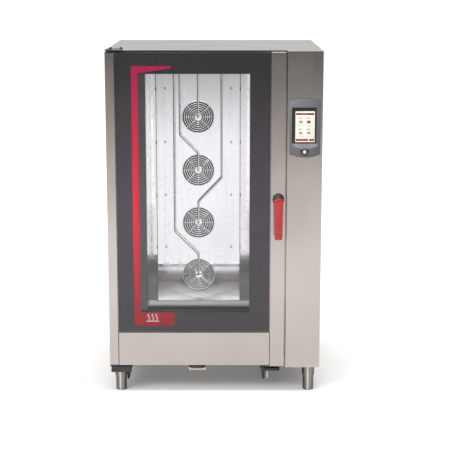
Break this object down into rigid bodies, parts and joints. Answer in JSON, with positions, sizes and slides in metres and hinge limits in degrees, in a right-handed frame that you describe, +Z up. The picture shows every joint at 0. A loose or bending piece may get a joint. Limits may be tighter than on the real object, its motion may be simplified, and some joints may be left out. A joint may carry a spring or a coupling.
{
  "type": "combi steamer oven",
  "caption": "Tall roll-in combi steamer oven with a glass door, red handle, fixed control column, fans behind a cover and adjustable feet.",
  "frame": {"origin": "on the floor, under the middle of the bounding box", "axes": "+Z up, the door faces -Y, +X is the control column's side"},
  "size_m": [1.17, 1.12, 1.913],
  "materials": {
    "stainless": "brushed stainless sheet",
    "polished_steel": "polished stainless sheet",
    "galvanised_steel": "zinc-plated sheet",
    "pipe_steel": "heat-tinted steel tube",
    "black_metal": "black powder coat",
    "black_plastic": "fine-textured black plastic",
    "red_plastic": "glossy red plastic",
    "red_print": "red foil behind glass",
    "bezel_plastic": "blue-grey moulded plastic",
    "screen_black": "black touch glass",
    "display": "lit display",
    "chrome": "bright chrome",
    "white_nylon": "white nylon",
    "gasket_rubber": "black silicone",
    "glass_clear": "clear toughened glass",
    "glass_print": "dark enamel print",
    "mineral_wool": "pressed mineral wool",
    "motor_paint": "dark motor paint",
    "brass": "cast brass"
  },
  "bodies": {
    "casing": {"base_frame": "galvanised_steel", "foot_sleeves": "stainless", "left_side_panel": "stainless", "right_side_panel": "stainless", "top_panel": "stainless", "back_panel": "galvanised_steel", "column_front": "stainless", "cavity_front_plate": "stainless", "door_gasket": "gasket_rubber", "cavity_left_wall": "polished_steel", "cavity_right_wall": "polished_steel", "cavity_ceiling": "polished_steel", "cavity_back_wall": "polished_steel", "cavity_floor": "polished_steel", "insulation": "mineral_wool", "fan_cover": "polished_steel", "fan_grilles": "polished_steel", "fan_cover_screws": "stainless", "water_pipes": "pipe_steel", "heating_elements": "pipe_steel", "fan_motors": "motor_paint", "control_bezel": "bezel_plastic", "screen_glass": "screen_black", "display_module": "display", "electrical_plate": "galvanised_steel", "contactors": "black_plastic", "latch_keeper": "stainless", "upper_hinge_plate": "black_metal", "lower_hinge_bracket": "black_metal", "drip_spout": "stainless", "trolley_guides": "black_metal", "guide_pins": "white_nylon", "drain_strainer": "stainless", "drain_pipe": "stainless", "exhaust_pipe": "stainless", "water_inlet_valve": "brass", "cable_gland": "black_plastic"},
    "door": {"door_hinge_stile": "stainless", "door_handle_stile": "stainless", "door_kick_panel": "stainless", "door_inner_frame": "polished_steel", "outer_glass": "glass_clear", "glass_border": "glass_print", "red_trim": "red_print", "door_light_bar": "black_plastic", "hinge_bushes": "black_plastic"},
    "inner_pane": {"inner_glass": "glass_clear", "inner_glass_rails": "stainless"},
    "handle": {"handle_lever": "red_plastic", "handle_latch": "black_plastic"},
    "push_shaft": {"encoder_shaft": "stainless"},
    "knob": {"selector_knob": "chrome"},
    "foot_leg_front_left": {"foot_leg_front_left": "stainless"},
    "foot_leg_front_right": {"foot_leg_front_right": "stainless"},
    "foot_leg_rear_left": {"foot_leg_rear_left": "stainless"},
    "foot_leg_rear_right": {"foot_leg_rear_right": "stainless"},
    "fan_wheel_1": {"fan_wheel_1": "polished_steel"},
    "fan_wheel_2": {"fan_wheel_2": "polished_steel"},
    "fan_wheel_3": {"fan_wheel_3": "polished_steel"},
    "fan_wheel_4": {"fan_wheel_4": "polished_steel"}
  },
  "joints": [
    {"name": "door_hinge", "type": "hinge", "parent": "casing", "child": "door", "pos_m": [-0.56, -0.468, 1], "axis": [0, 0, -1], "range_deg": [0, 115]},
    {"name": "inner_pane_hinge", "type": "hinge", "parent": "door", "child": "inner_pane", "pos_m": [-0.408, -0.443, 1.1], "axis": [0, 0, 1], "range_deg": [0, 90]},
    {"name": "handle_turn", "type": "hinge", "parent": "door", "child": "handle", "pos_m": [0.349, -0.53, 1.097], "axis": [0, 1, 0], "range_deg": [0, 90]},
    {"name": "knob_push", "type": "slide", "parent": "casing", "child": "push_shaft", "axis": [0, 1, 0], "range_m": [0, 0.0015], "stiffness_N_per_m": 2500},
    {"name": "knob_turn", "type": "hinge", "parent": "push_shaft", "child": "knob", "pos_m": [0.487, -0.518, 1.3615], "axis": [0, 1, 0], "continuous": true},
    {"name": "foot_height_front_left", "type": "slide", "parent": "casing", "child": "foot_leg_front_left", "axis": [0, 0, -1], "range_m": [0, 0.025]},
    {"name": "foot_height_front_right", "type": "slide", "parent": "casing", "child": "foot_leg_front_right", "axis": [0, 0, -1], "range_m": [0, 0.025]},
    {"name": "foot_height_rear_left", "type": "slide", "parent": "casing", "child": "foot_leg_rear_left", "axis": [0, 0, -1], "range_m": [0, 0.025]},
    {"name": "foot_height_rear_right", "type": "slide", "parent": "casing", "child": "foot_leg_rear_right", "axis": [0, 0, -1], "range_m": [0, 0.025]},
    {"name": "fan_1_spin", "type": "hinge", "parent": "casing", "child": "fan_wheel_1", "pos_m": [-0.102, 0.28, 0.499], "axis": [0, 1, 0], "continuous": true},
    {"name": "fan_2_spin", "type": "hinge", "parent": "casing", "child": "fan_wheel_2", "pos_m": [-0.102, 0.28, 0.82], "axis": [0, 1, 0], "continuous": true},
    {"name": "fan_3_spin", "type": "hinge", "parent": "casing", "child": "fan_wheel_3", "pos_m": [-0.102, 0.28, 1.141], "axis": [0, 1, 0], "continuous": true},
    {"name": "fan_4_spin", "type": "hinge", "parent": "casing", "child": "fan_wheel_4", "pos_m": [-0.102, 0.28, 1.462], "axis": [0, 1, 0], "continuous": true}
  ]
}
